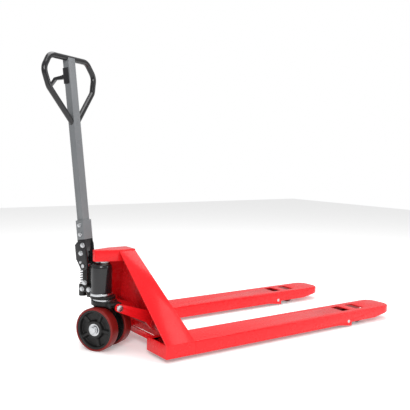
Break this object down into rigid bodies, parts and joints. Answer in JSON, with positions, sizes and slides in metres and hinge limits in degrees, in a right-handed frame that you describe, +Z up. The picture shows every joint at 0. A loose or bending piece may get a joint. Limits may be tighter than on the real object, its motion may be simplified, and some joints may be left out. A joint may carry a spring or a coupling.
{
  "type": "pallet jack",
  "caption": "Hand pallet truck with a pair of lifting forks, a steered hydraulic pump unit on wheels and a tall loop handle.",
  "frame": {"origin": "bottom centre of the whole truck's bounding box, on the floor", "axes": "+X towards the fork tips, +Y to the truck's left, +Z up"},
  "size_m": [1.7466, 0.685, 1.2577],
  "materials": {
    "red_paint": "gloss enamel",
    "black_paint": "gloss black enamel",
    "cast_black": "black cast finish",
    "grey_paint": "satin grey enamel",
    "red_tread": "polyurethane tread",
    "bright_steel": "zinc-plated steel",
    "chrome_rod": "hard chrome"
  },
  "bodies": {
    "chassis": {"left_fork_blade": "red_paint", "right_fork_blade": "red_paint", "left_heel": "red_paint", "right_heel": "red_paint", "left_side_plate": "red_paint", "right_side_plate": "red_paint", "front_panel": "red_paint", "head": "red_paint", "ram_socket": "red_paint", "lift_ram": "chrome_rod", "lower_cross_member": "red_paint", "rocker_brackets": "red_paint", "rocker_bushes": "bright_steel", "yoke_pins": "bright_steel"},
    "rocker": {"rocker_shaft": "red_paint", "rocker_arms": "red_paint", "link_pins": "bright_steel", "rocker_cranks": "red_paint", "crank_pins": "bright_steel"},
    "left_push_rod": {"left_push_rod": "black_paint"},
    "right_push_rod": {"right_push_rod": "black_paint"},
    "left_yoke": {"left_roller_yoke": "black_paint", "left_roller_axle": "bright_steel"},
    "right_yoke": {"right_roller_yoke": "black_paint", "right_roller_axle": "bright_steel"},
    "left_load_roller": {"left_roller_tyre": "red_tread", "left_roller_core": "bright_steel", "left_roller_bearings": "bright_steel"},
    "right_load_roller": {"right_roller_tyre": "red_tread", "right_roller_core": "bright_steel", "right_roller_bearings": "bright_steel"},
    "carrier": {"carrier": "black_paint"},
    "pump": {"thrust_bearing": "bright_steel", "pump_base": "black_paint", "lift_cylinder": "bright_steel", "oil_reservoir": "black_paint", "reservoir_ring": "bright_steel", "gland_nut": "bright_steel", "pump_fasteners": "bright_steel", "handle_pivot_pin": "bright_steel", "steer_axle": "bright_steel", "plunger_spring": "bright_steel"},
    "plunger": {"pump_plunger": "chrome_rod"},
    "valve_lever": {"valve_lever": "bright_steel"},
    "release_link": {"release_link": "bright_steel"},
    "handle": {"handle_base": "black_paint", "handle_stem": "grey_paint", "stem_sleeve": "grey_paint", "handle_bolts": "bright_steel", "handle_loop": "black_paint", "lever_bracket": "black_paint"},
    "cam_roller": {"cam_roller": "bright_steel"},
    "control_lever": {"control_lever": "black_paint"},
    "release_rod": {"release_rod": "bright_steel"},
    "left_wheel": {"left_wheel_tyre": "red_tread", "left_wheel_hub": "cast_black", "left_wheel_bearings": "bright_steel"},
    "right_wheel": {"right_wheel_tyre": "red_tread", "right_wheel_hub": "cast_black", "right_wheel_bearings": "bright_steel"}
  },
  "joints": [
    {"name": "lift", "type": "slide", "parent": "chassis", "child": "carrier", "axis": [0, 0, -1], "range_m": [0, 0.11]},
    {"name": "steer", "type": "hinge", "parent": "carrier", "child": "pump", "pos_m": [-0.62166, 0, 0.21], "axis": [0, 0, 1], "range_deg": [-30.2, 149.8]},
    {"name": "rocker_swing", "type": "hinge", "parent": "chassis", "child": "rocker", "pos_m": [-0.42666, 0, 0.1], "axis": [0, -1, 0], "range_deg": [0, 33.06]},
    {"name": "left_yoke_swing", "type": "hinge", "parent": "chassis", "child": "left_yoke", "pos_m": [0.54834, 0.2625, 0.03], "axis": [0, 1, 0], "range_deg": [0, 64.93]},
    {"name": "left_push_rod_pivot", "type": "hinge", "parent": "rocker", "child": "left_push_rod", "pos_m": [-0.44005, 0.2625, 0.05486], "axis": [0, 1, 0], "range_deg": [0, 33.7]},
    {"name": "left_load_roller_spin", "type": "hinge", "parent": "left_yoke", "child": "left_load_roller", "pos_m": [0.66534, 0.2625, 0.037], "axis": [0, 1, 0], "continuous": true},
    {"name": "left_wheel_spin", "type": "hinge", "parent": "pump", "child": "left_wheel", "pos_m": [-0.57672, 0.02616, 0.093], "axis": [0.8643, 0.503, 0], "continuous": true},
    {"name": "right_yoke_swing", "type": "hinge", "parent": "chassis", "child": "right_yoke", "pos_m": [0.54834, -0.2625, 0.03], "axis": [0, 1, 0], "range_deg": [0, 64.93]},
    {"name": "right_push_rod_pivot", "type": "hinge", "parent": "rocker", "child": "right_push_rod", "pos_m": [-0.44005, -0.2625, 0.05486], "axis": [0, 1, 0], "range_deg": [0, 33.7]},
    {"name": "right_load_roller_spin", "type": "hinge", "parent": "right_yoke", "child": "right_load_roller", "pos_m": [0.66534, -0.2625, 0.037], "axis": [0, 1, 0], "continuous": true},
    {"name": "right_wheel_spin", "type": "hinge", "parent": "pump", "child": "right_wheel", "pos_m": [-0.6666, -0.02616, 0.093], "axis": [0.8643, 0.503, 0], "continuous": true},
    {"name": "handle_tilt", "type": "hinge", "parent": "pump", "child": "handle", "pos_m": [-0.66592, 0.07606, 0.352], "axis": [-0.8643, -0.503, 0], "range_deg": [0, 80], "stiffness_Nm_per_rad": 25, "springref_deg": -57.3},
    {"name": "cam_roller_spin", "type": "hinge", "parent": "handle", "child": "cam_roller", "pos_m": [-0.6744, 0.09062, 0.36614], "axis": [-0.8643, -0.503, 0], "continuous": true},
    {"name": "plunger_stroke", "type": "slide", "parent": "pump", "child": "plunger", "axis": [0, 0, -1], "range_m": [0, 0.02838], "deforming": ["plunger_spring"]},
    {"name": "control_lever_swing", "type": "hinge", "parent": "handle", "child": "control_lever", "pos_m": [-0.72778, 0.18234, 1.16631], "axis": [0.8643, 0.503, 0], "range_deg": [-15, 15], "stiffness_Nm_per_rad": 8},
    {"name": "release_rod_slide", "type": "slide", "parent": "handle", "child": "release_rod", "axis": [0.0569, -0.0978, -0.9936], "range_m": [-0.006, 0.006]},
    {"name": "release_link_slide", "type": "slide", "parent": "pump", "child": "release_link", "axis": [0, 0, -1], "range_m": [-0.006, 0.006]},
    {"name": "valve_lever_swing", "type": "hinge", "parent": "pump", "child": "valve_lever", "pos_m": [-0.65486, 0.05704, 0.222], "axis": [-0.8643, -0.503, 0], "range_deg": [-16, 16]}
  ],
  "couplings": [
    {"joint": "rocker_swing", "follows": "lift", "rad_per_m": 5.2438},
    {"joint": "left_yoke_swing", "follows": "lift", "rad_per_m": 10.3},
    {"joint": "left_push_rod_pivot", "follows": "lift", "rad_per_m": 5.3461},
    {"joint": "right_yoke_swing", "follows": "lift", "rad_per_m": 10.3},
    {"joint": "right_push_rod_pivot", "follows": "lift", "rad_per_m": 5.3461},
    {"joint": "plunger_stroke", "follows": "handle_tilt", "m_per_rad": 0.020256},
    {"joint": "release_rod_slide", "follows": "control_lever_swing", "m_per_rad": 0.022},
    {"joint": "release_link_slide", "follows": "control_lever_swing", "m_per_rad": 0.022},
    {"joint": "valve_lever_swing", "follows": "control_lever_swing", "ratio": 1}
  ]
}
